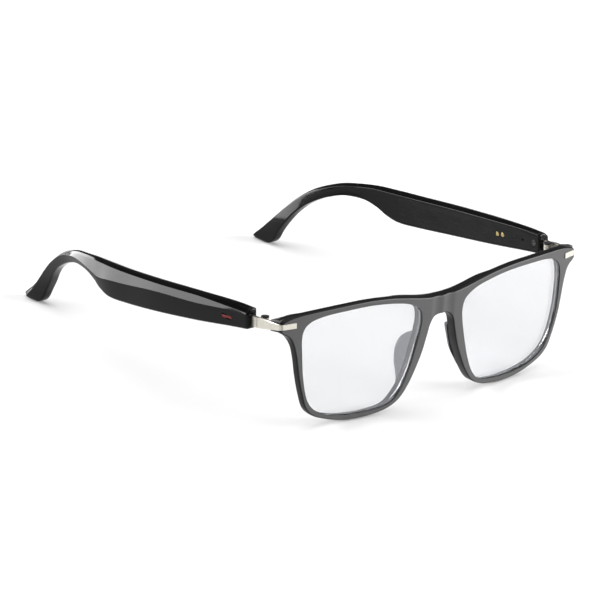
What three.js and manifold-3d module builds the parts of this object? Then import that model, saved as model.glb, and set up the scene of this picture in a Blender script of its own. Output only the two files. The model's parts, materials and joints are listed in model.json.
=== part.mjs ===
// Smart glasses: a black full-rim front with two lenses, and two temples that fold on screw
// hinges and hold the battery, circuit board, speaker and touch control.
// Millimetres, +Z up. The wearer looks along -Y and +X is the wearer's left.
// The glasses stand open on a table: both rims and both temple tips touch z = 0.

import * as THREE from 'three';
import { mergeVertices } from 'three/addons/utils/BufferGeometryUtils.js';
import Module from 'manifold-3d';

const wasm = await Module();
wasm.setup();

// ---------- Driving dimensions ----------

// Front
const FACE_RADIUS = 317; // face-form curve of the front, seen from above
const BRIDGE_SET = 7.85; // how far the bridge stands ahead of the end pieces
const BELLY = 1.1; // how far the front swells forward half way up its outer sides
const RIM_DEPTH = 2.8;
const THICK_DEPTH = 4.0; // front to back at the bridge and at the end pieces
const RIM_EDGE = 0.3; // broken edge round the front and back of each rim
const TABLE_FLAT = 0.15; // height at which the lowest stretch of each rim is levelled off
const LENS_THICKNESS = 1.4;
const LENS_SETBACK = 0.6; // front face of the rim to front face of the lens
const LENS_BITE = 0.45; // how far the lens edge reaches into its groove

// Hinge, in the temple's own frame
const TEMPLE_SLOPE = THREE.MathUtils.degToRad(6.5); // the temples run down towards the back
const HINGE_HEIGHT = 39.16; // the temple frame's level above the table
const HINGE_X = 67.6;
const HINGE_Y = 10.9;
const KNUCKLE_RADIUS = 1.4;
const PIN_RADIUS = 0.55;
const PIN_CLEARANCE = 0.08;
const END_SCREW_X = 66.9;
const END_SCREW_Z = -0.4;
const STRIP_OUTER_X = 70.4;
const STRIP_THICKNESS = 1.2;
const STRIP_SPLIT_Y = 12.0; // where the front leaf ends and the temple leaf begins
const STRIP_GAP = 0.2;
const LEAF_END_Y = 21.5;

// Temple
const INNER_X = 67.5; // the flat inner face over the first 55 mm; behind that it curves inwards
const WALL = 1.2;
const COVER_THICKNESS = 1.0;
const FIT = 0.15; // gap round a piece that is set into another
const SCREW_Y = 17.9;
const SCREW_Z = -0.3;
const MIC_Y = 23.4;
const LIGHT_Y = 27.9;
const CONTACTS = [
  { name: 'charge_contact_front', y: 33.7, z: -0.6 },
  { name: 'charge_contact_rear', y: 36.3, z: -0.8 },
];
const CONTACT_RADIUS = 0.8;
const MARK = { y: 25, z: -1.0, length: 4.6, height: 0.9, depth: 0.5, lean: 0.056 };
const SPEAKER_PORT = { y0: 75, y1: 81, x0: 68.1, x1: 70.1 };
const TIP_WIRE = { radius: 0.6, from: 5.4, to: 14.4 }; // from and to count the temple sections

// Right half of the front's outline, from the top of the bridge round to its underside:
// [distance from the centre, height above the table].
const FRONT_OUTLINE = [
  [0, 39.65], [6, 39.9], [11, 40.6], [17, 41.7], [24, 42.8], [34, 43.5], [45, 43.35], [55, 42.9],
  [62, 42.4], [66.5, 41.6], [69.4, 40.5], [70.2, 39.6], [70.3, 38.6], [70.2, 37.2], [69.3, 36.3],
  [67, 34.9], [65.6, 33], [64.1, 28.5], [62.2, 19.3], [60.3, 12.9], [57.8, 7], [54.6, 4.1],
  [50, 2.3], [43.5, 0.7], [36, 0.05], [28.5, 0.4], [22.4, 1.5], [17.4, 4.0], [13.6, 8.6],
  [10.8, 13.8], [8.2, 19.8], [6.4, 26], [5.2, 30.0], [3.2, 32.0], [0, 32.7],
];

// The end piece from front to back: [y, foot, top, width of its broken outer edges].
const END_SECTIONS = [
  [0.9, -2.2, 2.2, 0.9],
  [2.5, -2.5, 2.2, 0.9],
  [5.4, -2.6, 1.6, 0.7],
  [6.2, -2.1, 1.1, 0.5],
];

// The hinge strip from front to back: [y, foot, top]. It keeps its last height along the temple.
const STRIP_PROFILE = [
  [0, -1.3, 0.65],
  [5, -1.95, 0.6],
  [9.5, -2.5, 1.15],
  [STRIP_SPLIT_Y, -2.7, 1.0],
];

// One lens opening, anticlockwise from its upper nasal corner.
const LENS_OUTLINE = [
  [10.2, 35.8], [9.3, 32], [9.8, 27.8], [11.6, 20.5], [14.0, 12.9], [16.9, 7.1], [20.9, 3.5],
  [28, 1.95], [38, 1.75], [48, 3.1], [54.4, 6.0], [57.9, 10], [60.7, 19], [61.8, 28.5],
  [62, 34.2], [61, 37.4], [58.3, 39.6], [53, 41.0], [43, 41.7], [33, 41.85], [24.3, 41.1],
  [16.5, 39.6], [12.6, 37.9],
];

// Sections of the temple from the hinge to the tip:
// [upper edge y, z, lower edge y, z, inner x, thickness, height of the crease 0..1, bevel width].
const TEMPLE_SECTIONS = [
  [15.0, 3.9, 15.0, -3.7, 67.5, 4.7, 0.69, 0.15],
  [24, 4.45, 24, -4.25, 67.5, 5.1, 0.68, 0.25],
  [40, 4.5, 40, -5.35, 67.5, 6.0, 0.65, 1.0],
  [60, 4.4, 60, -6.35, 67.45, 6.5, 0.685, 1.5],
  [76, 4.3, 76, -6.9, 66.75, 6.6, 0.615, 1.9],
  [86, 4.4, 85.5, -6.75, 65.95, 6.8, 0.555, 2.2],
  [93, 4.5, 91.3, -5.1, 65.35, 6.4, 0.42, 2.2],
  [98, 4.5, 95.5, -2.9, 64.8, 5.9, 0.34, 2.0],
  [104, 4.1, 101.5, -1.0, 63.8, 5.3, 0.345, 1.7],
  [111, 3.35, 109, -0.75, 62.0, 4.6, 0.5, 1.2],
  [117.5, 1.6, 115, -2.1, 60.2, 4.2, 0.7, 0.7],
  [123.1, -0.7, 120, -4.0, 58.7, 4.1, 0.8, 0.7],
  [129.1, -4.5, 125.2, -6.9, 57.1, 4.1, 0.8, 0.9],
  [134.6, -9.2, 129.2, -10.4, 55.5, 4.1, 0.8, 1.1],
  [139.6, -14.0, 132.2, -14.1, 54.2, 4.0, 0.8, 1.5],
  [144.2, -18.1, 135.0, -17.9, 53.6, 3.9, 0.74, 1.9],
  [147.3, -20.4, 137.1, -21.2, 53.5, 3.8, 0.72, 1.7],
  [148.5, -21.5, 139.2, -22.8, 53.6, 3.4, 0.72, 1.3],
  [147.7, -22.35, 141.6, -23.08, 53.9, 2.6, 0.72, 0.9],
];
const BATTERY_BAY_END = 4.9; // the hollow body ends just before the section at y = 86

// Nose pad from top to bottom: [height, root x, rear edge x, rear edge y, thickness].
const PAD_SECTIONS = [
  [26.6, 7.2, 7.4, -3.2, 0.9],
  [25.9, 7.4, 8.6, -1.8, 1.5],
  [24.9, 7.7, 9.8, -0.1, 1.8],
  [23.0, 8.3, 11.4, 1.2, 2.0],
  [19.6, 9.4, 12.8, 1.5, 2.1],
  [15.2, 11.0, 13.6, 0.7, 2.1],
  [12, 12.8, 14.2, -1.0, 1.9],
  [9, 14.7, 15.1, -2.6, 1.6],
  [6.7, 16.5, 16.6, -3.0, 0.9],
];

// ---------- Materials ----------

const metal = (color, roughness) => new THREE.MeshStandardMaterial({ color, roughness, metalness: 1 });
const plastic = (color, roughness) => new THREE.MeshStandardMaterial({ color, roughness, metalness: 0 });

const frameBlack = plastic(0x1b1b1d, 0.28);
const templeBlack = plastic(0x161617, 0.2);
const coverBlack = plastic(0x202021, 0.35);
const padBlack = plastic(0x1a1a1b, 0.5);
const clearLens = new THREE.MeshStandardMaterial({
  color: 0xe9ecf2, roughness: 0.03, metalness: 0, transparent: true, opacity: 0.3,
});
const satinSilver = metal(0xb4b1a9, 0.35);
const darkSteel = metal(0x3b3a39, 0.4);
const screwSteel = metal(0x4a4a4a, 0.35);
const gold = metal(0xc9a24a, 0.3);
const markRed = plastic(0x8e2622, 0.4);
const batterySilver = metal(0xa9abad, 0.45);
const boardGreen = plastic(0x1f5a3a, 0.5);
const speakerBlack = plastic(0x151515, 0.6);
const meshSteel = metal(0x2a2a2b, 0.5);
const micSteel = metal(0xc0c0bd, 0.3);
const lightPipe = plastic(0x2a2d30, 0.15);
const foilCopper = metal(0xb06a3c, 0.4);
const wireSteel = metal(0x8f9194, 0.35);

// ---------- Solids ----------

// The bare surface of a geometry, with one vertex per corner.
function indexed(geometry) {
  const bare = geometry.clone();
  bare.deleteAttribute('normal');
  bare.deleteAttribute('uv');
  return mergeVertices(bare, 1e-4);
}

function mirrorX(geometry) {
  const turned = indexed(geometry).scale(-1, 1, 1);
  const index = turned.index.array;
  for (let i = 0; i < index.length; i += 3) [index[i], index[i + 1]] = [index[i + 1], index[i]];
  return turned;
}

function solidOf(geometry) {
  const merged = indexed(geometry);
  return new wasm.Manifold(new wasm.Mesh({
    numProp: 3,
    vertProperties: merged.attributes.position.array,
    triVerts: new Uint32Array(merged.index.array),
  }));
}

function geometryOf(solid) {
  const mesh = solid.getMesh();
  const geometry = new THREE.BufferGeometry();
  geometry.setAttribute('position', new THREE.BufferAttribute(mesh.vertProperties, 3));
  geometry.setIndex(new THREE.BufferAttribute(mesh.triVerts, 1));
  geometry.computeVertexNormals();
  return geometry;
}

const join = (...pieces) => geometryOf(pieces.map(solidOf).reduce((sum, piece) => sum.add(piece)));

const cut = (body, ...tools) =>
  geometryOf(tools.map(solidOf).reduce((rest, tool) => rest.subtract(tool), solidOf(body)));

function signedVolume(positions, index) {
  const [a, b, c] = [0, 1, 2].map(() => new THREE.Vector3());
  let volume = 0;
  for (let i = 0; i < index.length; i += 3) {
    a.fromArray(positions, 3 * index[i]);
    b.fromArray(positions, 3 * index[i + 1]);
    c.fromArray(positions, 3 * index[i + 2]);
    volume += a.dot(b.cross(c)) / 6;
  }
  return volume;
}

// A closed skin over a row of rings with the same number of points, each end closed by a fan.
function loft(rings) {
  const count = rings[0].length;
  const positions = rings.flat().flatMap((point) => point.toArray());
  const index = [];
  for (let r = 0; r + 1 < rings.length; r++) {
    for (let i = 0; i < count; i++) {
      const a = r * count + i;
      const b = r * count + ((i + 1) % count);
      index.push(a, b, a + count, b, b + count, a + count);
    }
  }
  for (const [start, turn] of [[0, 1], [(rings.length - 1) * count, -1]]) {
    const ring = rings[start / count];
    const middle = ring.reduce((sum, point) => sum.add(point), new THREE.Vector3()).divideScalar(count);
    const hub = positions.length / 3;
    positions.push(...middle.toArray());
    for (let i = 0; i < count; i++) {
      const pair = [start + i, start + ((i + 1) % count)];
      index.push(hub, ...(turn > 0 ? pair.reverse() : pair));
    }
  }
  if (signedVolume(positions, index) < 0) index.reverse();
  const geometry = new THREE.BufferGeometry();
  geometry.setAttribute('position', new THREE.Float32BufferAttribute(positions, 3));
  geometry.setIndex(index);
  geometry.computeVertexNormals();
  return geometry;
}

// A box given by its two corners.
function block([x0, y0, z0], [x1, y1, z1]) {
  return new THREE.BoxGeometry(x1 - x0, y1 - y0, z1 - z0)
    .translate((x0 + x1) / 2, (y0 + y1) / 2, (z0 + z1) / 2);
}

// Round pegs along X, along Y and along Z.
function pegX(radius, x0, x1, y, z, sides = 16) {
  return new THREE.CylinderGeometry(radius, radius, x1 - x0, sides)
    .rotateZ(Math.PI / 2)
    .translate((x0 + x1) / 2, y, z);
}

function pegY(radius, y0, y1, x, z, sides = 16) {
  return new THREE.CylinderGeometry(radius, radius, y1 - y0, sides).translate(x, (y0 + y1) / 2, z);
}

function pegZ(radius, z0, z1, x, y, sides = 20) {
  return new THREE.CylinderGeometry(radius, radius, z1 - z0, sides)
    .rotateX(Math.PI / 2)
    .translate(x, y, (z0 + z1) / 2);
}

// A flat polygon in the plan view, extruded up from z0 to z1.
function prism(corners, z0, z1) {
  const shape = new THREE.Shape(corners.map(([x, y]) => new THREE.Vector2(x, y)));
  return new THREE.ExtrudeGeometry(shape, { depth: z1 - z0, bevelEnabled: false }).translate(0, 0, z0);
}

// A smooth closed outline through its corner points.
function smoothOutline(corners, stepsPerCorner) {
  const points = corners.map(([x, z]) => new THREE.Vector3(x, z, 0));
  const curve = new THREE.CatmullRomCurve3(points, true, 'centripetal');
  return curve.getPoints(corners.length * stepsPerCorner)
    .slice(0, -1)
    .map((point) => new THREE.Vector2(point.x, point.y));
}

// Moves the edge of an outline outwards by a distance, or inwards by a negative one.
function grow(outline, distance) {
  return outline.map((point, i) => {
    const before = outline.at(i - 1);
    const after = outline[(i + 1) % outline.length];
    const along = after.clone().sub(before).normalize();
    return new THREE.Vector2(point.x + along.y * distance, point.y - along.x * distance);
  });
}

// ---------- Front ----------

// Front surface of the front: how far back it lies at a distance from the centre and a height.
function faceForm(x, height) {
  const swell = Math.sin(Math.PI * THREE.MathUtils.clamp(height / HINGE_HEIGHT, 0, 1));
  return (x * x) / (2 * FACE_RADIUS) - BRIDGE_SET - BELLY * (x / HINGE_X) ** 2 * swell;
}

// Front to back of the rims: thin round the lenses, full at the bridge and at the end pieces.
function rimDepth(x, height) {
  const bridge = 1 - THREE.MathUtils.smoothstep(Math.abs(x), 17, 26);
  const outward = THREE.MathUtils.smoothstep(Math.abs(x), 60, 66);
  const corner = outward * THREE.MathUtils.smoothstep(height, 30, 36);
  return THREE.MathUtils.lerp(RIM_DEPTH, THICK_DEPTH, Math.max(bridge, corner));
}

// The temple frame laid into the frame of the glasses.
function fromTempleFrame(geometry) {
  return geometry.rotateX(-TEMPLE_SLOPE).translate(0, 0, HINGE_HEIGHT);
}

const lensOutline = smoothOutline(LENS_OUTLINE, 3);

// Rings of a lens-shaped disc: its flat edge stands at reach outside the opening.
function lensRings(thickness, setback, reach, edge) {
  const centre = new THREE.Vector2(36, 22);
  const ring = (outline, share, depth) => outline.map((point) => {
    const flat = point.clone().lerp(centre, 1 - share);
    return new THREE.Vector3(flat.x, faceForm(flat.x, flat.y) + depth, flat.y);
  });
  const inside = grow(lensOutline, -FIT);
  const outside = grow(lensOutline, reach);
  const middle = setback + thickness / 2;
  const shares = [0.02, 0.35, 0.7, 1];
  return [
    ...shares.map((share) => ring(inside, share, setback)),
    ring(outside, 1, middle - edge / 2),
    ring(outside, 1, middle + edge / 2),
    ...shares.toReversed().map((share) => ring(inside, share, setback + thickness)),
  ];
}

function lens() {
  return loft(lensRings(LENS_THICKNESS, LENS_SETBACK, LENS_BITE, 0.3));
}

// Rims and bridge: the outline with its two lens openings, extruded and bent to the face form.
function rims() {
  const half = FRONT_OUTLINE;
  const mirrored = half.slice(1, -1).reverse().map(([x, z]) => [-x, z]);
  const outline = smoothOutline([...half, ...mirrored], 2).reverse();
  const opening = grow(lensOutline, RIM_EDGE);
  const shape = new THREE.Shape(grow(outline, -RIM_EDGE));
  shape.holes.push(new THREE.Path(opening));
  shape.holes.push(new THREE.Path(opening.map((point) => new THREE.Vector2(-point.x, point.y))));
  const geometry = new THREE.ExtrudeGeometry(shape, {
    depth: RIM_DEPTH - 2 * RIM_EDGE,
    bevelEnabled: true,
    bevelThickness: RIM_EDGE,
    bevelSize: RIM_EDGE,
    bevelSegments: 1,
  });
  geometry.rotateX(Math.PI / 2).translate(0, RIM_DEPTH - RIM_EDGE, 0);
  const position = geometry.attributes.position;
  for (let i = 0; i < position.count; i++) {
    const [x, height] = [position.getX(i), position.getZ(i)];
    const depth = position.getY(i) * rimDepth(x, height) / RIM_DEPTH;
    position.setY(i, depth + faceForm(x, height));
  }
  return geometry;
}

// The end piece behind the rim's upper outer corner: a block with its outer edges broken.
function endPiece() {
  const inner = 64.7;
  const outer = STRIP_OUTER_X - 0.25;
  return loft(END_SECTIONS.map(([y, low, high, edge]) => [
    [inner, low], [outer - edge, low], [outer, low + edge], [outer, high - edge],
    [outer - edge, high], [inner, high],
  ].map(([x, z]) => new THREE.Vector3(x, y, z))));
}

// Height of the silver hinge strip along Y, seen from the side.
const stripProfile = new THREE.LinearInterpolant(
  STRIP_PROFILE.map(([y]) => y),
  STRIP_PROFILE.flatMap(([, foot, top]) => [foot, top]),
  2,
);

function strip(corners, margin = 0) {
  const geometry = prism(corners, 0, 1);
  const position = geometry.attributes.position;
  for (let i = 0; i < position.count; i++) {
    const [foot, top] = stripProfile.evaluate(position.getY(i));
    position.setZ(i, position.getZ(i) > 0.5 ? top + margin : foot - margin);
  }
  return geometry;
}

const stripInnerX = STRIP_OUTER_X - STRIP_THICKNESS;
const stripStations = STRIP_PROFILE.slice(1).map(([y]) => y);
const LEAF_CORNERS = [
  [64.3, -1.6], [69.5, -0.35], [70.2, 0.2], [STRIP_OUTER_X, 1.0],
  ...stripStations.map((y) => [STRIP_OUTER_X, y]),
  ...stripStations.toReversed().map((y) => [stripInnerX, y]),
  [stripInnerX, 1.3], [64.5, -0.3],
];

// Knuckles, from the lowest up. The middle one belongs to the temple.
const KNUCKLES = { lower: [-2.5, -1.55], middle: [-1.45, -0.35], upper: [-0.25, 0.75] };
const knuckle = ([z0, z1]) => pegZ(KNUCKLE_RADIUS, z0, z1, HINGE_X, HINGE_Y);
const pinBore = () => pegZ(PIN_RADIUS + PIN_CLEARANCE, -4, 3, HINGE_X, HINGE_Y, 16);

function frontLeaf() {
  const arm = ([z0, z1]) => block([HINGE_X, HINGE_Y - 1.3, z0], [stripInnerX + 0.3, HINGE_Y + 0.6, z1]);
  const whole = join(
    strip(LEAF_CORNERS),
    knuckle(KNUCKLES.lower),
    arm(KNUCKLES.lower),
    knuckle(KNUCKLES.upper),
    arm(KNUCKLES.upper),
  );
  return cut(whole, pinBore());
}

// The room that the front leaf's plate and its screw take in the end piece.
function leafPocket() {
  const grown = [
    [64.1, -3], [STRIP_OUTER_X + 1, -3],
    ...stripStations.map((y) => [STRIP_OUTER_X + 1, y]),
    ...stripStations.toReversed().map((y) => [stripInnerX - FIT, y]),
    [stripInnerX - FIT, 1.3 + FIT], [64.1, -0.1],
  ];
  return strip(grown, FIT);
}

function frontFrame() {
  const groove = loft(lensRings(LENS_THICKNESS + 0.5, LENS_SETBACK - 0.25, LENS_BITE + FIT, 0.5));
  const pocket = fromTempleFrame(leafPocket());
  const screwRoom = fromTempleFrame(join(
    pegY(0.65, -0.5, 6, END_SCREW_X, END_SCREW_Z),
    pegY(1.25, 5.4, 8, END_SCREW_X, END_SCREW_Z),
  ));
  const end = fromTempleFrame(endPiece());
  const whole = join(rims(), end, mirrorX(end));
  const table = block([10, -20, -5], [60, 20, TABLE_FLAT]);
  const tools = [groove, pocket, screwRoom, table];
  return cut(whole, ...tools, ...tools.map(mirrorX));
}

// Screw through the end piece from behind that pulls the front leaf's plate home.
function endScrew() {
  return join(
    pegY(0.5, 0.75, 5.8, END_SCREW_X, END_SCREW_Z),
    pegY(1.1, 5.55, 6.15, END_SCREW_X, END_SCREW_Z),
  );
}

function hingeScrew() {
  const body = join(
    pegZ(PIN_RADIUS, -2.4, 1.0, HINGE_X, HINGE_Y, 16),
    pegZ(1.45, 0.85, 1.35, HINGE_X, HINGE_Y),
  );
  return cut(body, block([HINGE_X - 2, HINGE_Y - 0.16, 1.15], [HINGE_X + 2, HINGE_Y + 0.16, 2]));
}

// Nose pad: a curved fin behind the nasal rim that splays away from the nose.
function nosePad() {
  return loft(PAD_SECTIONS.map(([height, rootX, edgeX, edgeY, thickness]) => {
    const root = (x) => new THREE.Vector3(x, faceForm(x, height) + rimDepth(x, height) + FIT, height);
    const edge = new THREE.Vector2(edgeX, edgeY);
    const back = edge.clone().sub(new THREE.Vector2(rootX, root(rootX).y));
    const rounding = Math.min(0.5, 0.4 * back.length());
    back.normalize();
    const at = (across, along) => new THREE.Vector3(
      edge.x + back.y * across + back.x * along,
      edge.y - back.x * across + back.y * along,
      height,
    );
    const half = thickness / 2;
    return [
      root(rootX + half), at(half, -rounding), at(0.5 * half, 0), at(-0.5 * half, 0),
      at(-half, -rounding), root(rootX - half),
    ];
  }));
}

// ---------- Temple ----------

const sectionCurve = new THREE.CubicInterpolant(
  TEMPLE_SECTIONS.map((section, i) => i),
  TEMPLE_SECTIONS.flat(),
  TEMPLE_SECTIONS[0].length,
);

// A section of the temple: its size, and a function that places a point given by its distance
// from the inner face and from the lower edge.
function templeSection(t) {
  const [upperY, upperZ, lowerY, lowerZ, inner, thickness, crease, bevel] = sectionCurve.evaluate(t);
  const height = Math.hypot(upperY - lowerY, upperZ - lowerZ);
  const place = (across, up) => {
    const y = THREE.MathUtils.lerp(lowerY, upperY, up / height);
    const z = THREE.MathUtils.lerp(lowerZ, upperZ, up / height);
    return new THREE.Vector3(inner + across, y, z);
  };
  return { height, thickness, crease: crease * height, bevel, place };
}

function sections(from, to, count, outline) {
  return Array.from({ length: count + 1 }, (_, i) => {
    const section = templeSection(THREE.MathUtils.lerp(from, to, i / count));
    return outline(section).map(([across, up]) => section.place(across, up));
  });
}

// Outer skin: flat inner face, crowned top, bevel above the crease and broken lower edges.
function skinOutline({ height, thickness, crease, bevel }) {
  const soft = Math.min(0.5, 0.15 * thickness);
  const fall = 1 + Math.max(0, 1 - bevel);
  return [
    [0, soft], [soft, 0], [thickness - soft, 0], [thickness, soft], [thickness, crease],
    [thickness - bevel, height - fall], [0.7 * thickness - 0.5 * bevel, height - 0.35 * fall],
    [0.35 * thickness, height], [0, height - Math.min(0.8, 0.2 * height)],
  ];
}

function bayOutline({ height, thickness, crease, bevel }) {
  const outer = thickness - WALL;
  const roof = height - 2;
  return [[-1, 1.3], [outer, 1.3], [outer, crease - 0.6], [outer - 0.9 * bevel, roof], [-1, roof]];
}

const coverOutline = (gap) => ({ height }) => [
  [gap ? -1 : 0, 0.8 - gap], [COVER_THICKNESS + gap, 0.8 - gap],
  [COVER_THICKNESS + gap, height - 1.6 + gap], [gap ? -1 : 0, height - 1.6 + gap],
];

function wireAlongTip(radius, from, to) {
  const middle = Array.from({ length: 8 }, (_, i) => {
    const section = templeSection(THREE.MathUtils.lerp(from, to, i / 7));
    return section.place(section.thickness / 2, 0.45 * section.height);
  });
  const round = new THREE.Shape().absarc(0, 0, radius, 0, 2 * Math.PI);
  return new THREE.ExtrudeGeometry(round, {
    extrudePath: new THREE.CatmullRomCurve3(middle),
    steps: 18,
    curveSegments: 8,
    bevelEnabled: false,
  });
}

// A short bar let into the outer face over the touch sensor, standing a hair proud.
function markBar(margin) {
  const [start, end] = [TEMPLE_SECTIONS[1][0], TEMPLE_SECTIONS[2][0]];
  const { thickness } = templeSection(1 + (MARK.y - start) / (end - start));
  const size = [MARK.depth, MARK.length, MARK.height].map((length) => length + 2 * margin);
  return new THREE.BoxGeometry(...size)
    .rotateZ(-MARK.lean)
    .translate(INNER_X + thickness - MARK.depth / 2 + 0.06, MARK.y, MARK.z);
}

function templeShell(marked) {
  const skin = loft(sections(0, TEMPLE_SECTIONS.length - 1, 51, skinOutline));
  const leafSlot = block([stripInnerX - 0.2, 14, -2.95], [STRIP_OUTER_X + 0.2, LEAF_END_Y + 0.4, 1.15]);
  const port = block([SPEAKER_PORT.x0, SPEAKER_PORT.y0, -8], [SPEAKER_PORT.x1, SPEAKER_PORT.y1, -5]);
  const tools = [
    loft(sections(0.18, BATTERY_BAY_END, 12, bayOutline)),
    loft(sections(0.12, BATTERY_BAY_END + 0.02, 12, coverOutline(FIT))),
    wireAlongTip(TIP_WIRE.radius + 0.2, BATTERY_BAY_END - 0.1, TIP_WIRE.to + 0.15),
    leafSlot,
    port,
  ];
  if (marked) tools.push(markBar(0.1));
  return cut(skin, ...tools);
}

function templeCover() {
  const plate = loft(sections(0.14, BATTERY_BAY_END - 0.01, 12, coverOutline(0)));
  const x0 = INNER_X - 1;
  const through = INNER_X + 2;
  return cut(
    plate,
    pegX(1.3, x0, INNER_X + 0.6, SCREW_Y, SCREW_Z),
    pegX(0.65, x0, through, SCREW_Y, SCREW_Z),
    pegX(0.4, x0, through, MIC_Y, -0.2),
    pegX(0.55, x0, through, LIGHT_Y, -0.2),
    ...CONTACTS.map(({ y, z }) => pegX(CONTACT_RADIUS + 0.1, x0, through, y, z)),
  );
}

function templeLeaf() {
  const start = STRIP_SPLIT_Y + STRIP_GAP;
  const bar = [
    [stripInnerX, start], [STRIP_OUTER_X, start], [STRIP_OUTER_X, LEAF_END_Y], [stripInnerX, LEAF_END_Y],
  ];
  const web = [
    [HINGE_X - 0.9, 11.3], [stripInnerX - 0.25, 11.3], [stripInnerX - 0.2, start],
    [stripInnerX + 0.3, start], [stripInnerX + 0.3, 13.8], [stripInnerX - 0.6, 13.8],
  ];
  const [z0, z1] = KNUCKLES.middle;
  const whole = join(strip(bar), knuckle(KNUCKLES.middle), prism(web, z0, z1));
  return cut(whole, pinBore(), pegX(0.6, 68, 72, SCREW_Y, SCREW_Z, 12));
}

// Screw that clamps the cover and the hinge leaf to each other.
function coverScrew() {
  const head = pegX(1.15, INNER_X - 0.02, INNER_X + 0.45, SCREW_Y, SCREW_Z);
  const shank = pegX(0.5, INNER_X + 0.3, STRIP_OUTER_X - 0.2, SCREW_Y, SCREW_Z, 12);
  const slot = block(
    [INNER_X - 1, SCREW_Y - 0.9, SCREW_Z - 0.15],
    [INNER_X + 0.2, SCREW_Y + 0.9, SCREW_Z + 0.15],
  );
  return cut(join(head, shank), slot);
}

function circuitBoard() {
  return join(
    block([69.6, 22.6, -2.8], [70.2, 41.5, 1.0]),
    block([70.1, 30, -2.2], [70.9, 34, 0.4]),
    block([70.1, 36.5, -1.8], [70.7, 39.5, 0.2]),
  );
}

const battery = () => block([68.9, 45, -4.2], [71.4, 71, 0.2]);
const speaker = () => block([68.05, 73, -5.1], [70.4, 83, -0.9]);
const speakerMesh = () => block(
  [SPEAKER_PORT.x0 + FIT, SPEAKER_PORT.y0 + FIT, -6.6],
  [SPEAKER_PORT.x1 - FIT, SPEAKER_PORT.y1 - FIT, -6.2],
);
const microphone = () => block([68.7, 22.7, -1.2], [69.45, 25.1, 0.8]);
const touchSensor = () => loft(sections(1.4, 2.9, 4, ({ thickness, crease }) => [
  [thickness - WALL - 0.4, 1.8], [thickness - WALL - 0.15, 1.8],
  [thickness - WALL - 0.15, crease - 1], [thickness - WALL - 0.4, crease - 1],
]));

// ---------- Assembly ----------

function part(name, geometry, material) {
  const mesh = new THREE.Mesh(geometry, material);
  mesh.name = name;
  return mesh;
}

// The pieces of one side, built for +X. A group with its X axis turned round makes the other.
const SIDES = [
  { side: 'left', sign: 1, marked: false },
  { side: 'right', sign: -1, marked: true },
];

function frontSide({ side, sign }) {
  const half = new THREE.Group();
  half.scale.x = sign;
  half.add(part(`lens_${side}`, lens(), clearLens));
  half.add(part(`nose_pad_${side}`, nosePad(), padBlack));
  const hinge = new THREE.Group();
  hinge.rotation.x = -TEMPLE_SLOPE;
  hinge.position.z = HINGE_HEIGHT;
  hinge.add(part(`front_leaf_${side}`, frontLeaf(), satinSilver));
  hinge.add(part(`end_screw_${side}`, endScrew(), screwSteel));
  hinge.add(part(`hinge_screw_${side}`, hingeScrew(), darkSteel));
  half.add(hinge);
  return half;
}

function templeSide({ side, sign, marked }) {
  const temple = new THREE.Group();
  temple.scale.x = sign;
  temple.rotation.x = -TEMPLE_SLOPE;
  temple.position.z = HINGE_HEIGHT;
  temple.add(part(`temple_shell_${side}`, templeShell(marked), templeBlack));
  temple.add(part(`temple_cover_${side}`, templeCover(), coverBlack));
  temple.add(part(`temple_leaf_${side}`, templeLeaf(), satinSilver));
  temple.add(part(`cover_screw_${side}`, coverScrew(), screwSteel));
  temple.add(part(`battery_${side}`, battery(), batterySilver));
  temple.add(part(`circuit_board_${side}`, circuitBoard(), boardGreen));
  temple.add(part(`speaker_${side}`, speaker(), speakerBlack));
  temple.add(part(`speaker_mesh_${side}`, speakerMesh(), meshSteel));
  temple.add(part(`microphone_${side}`, microphone(), micSteel));
  temple.add(part(`status_light_${side}`, pegX(0.45, INNER_X, 69.4, LIGHT_Y, -0.2, 12), lightPipe));
  temple.add(part(`touch_sensor_${side}`, touchSensor(), foilCopper));
  const wire = wireAlongTip(TIP_WIRE.radius, TIP_WIRE.from, TIP_WIRE.to);
  temple.add(part(`tip_wire_${side}`, wire, wireSteel));
  for (const { name, y, z } of CONTACTS) {
    temple.add(part(`${name}_${side}`, pegX(CONTACT_RADIUS, INNER_X - 0.05, 69.4, y, z), gold));
  }
  if (marked) temple.add(part(`touch_mark_${side}`, markBar(0), markRed));
  return temple;
}

const glasses = new THREE.Group();
glasses.add(part('front_frame', frontFrame(), frameBlack));
for (const side of SIDES) {
  glasses.add(frontSide(side));
  glasses.add(templeSide(side));
}

// The origin goes under the middle of the glasses, on the table.
const bounds = new THREE.Box3().setFromObject(glasses, true);
glasses.position.set(0, -(bounds.min.y + bounds.max.y) / 2, -bounds.min.z);

export default glasses;
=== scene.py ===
import json
import math

import bmesh
import bpy
import numpy as np
from mathutils import Matrix, Vector


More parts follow.
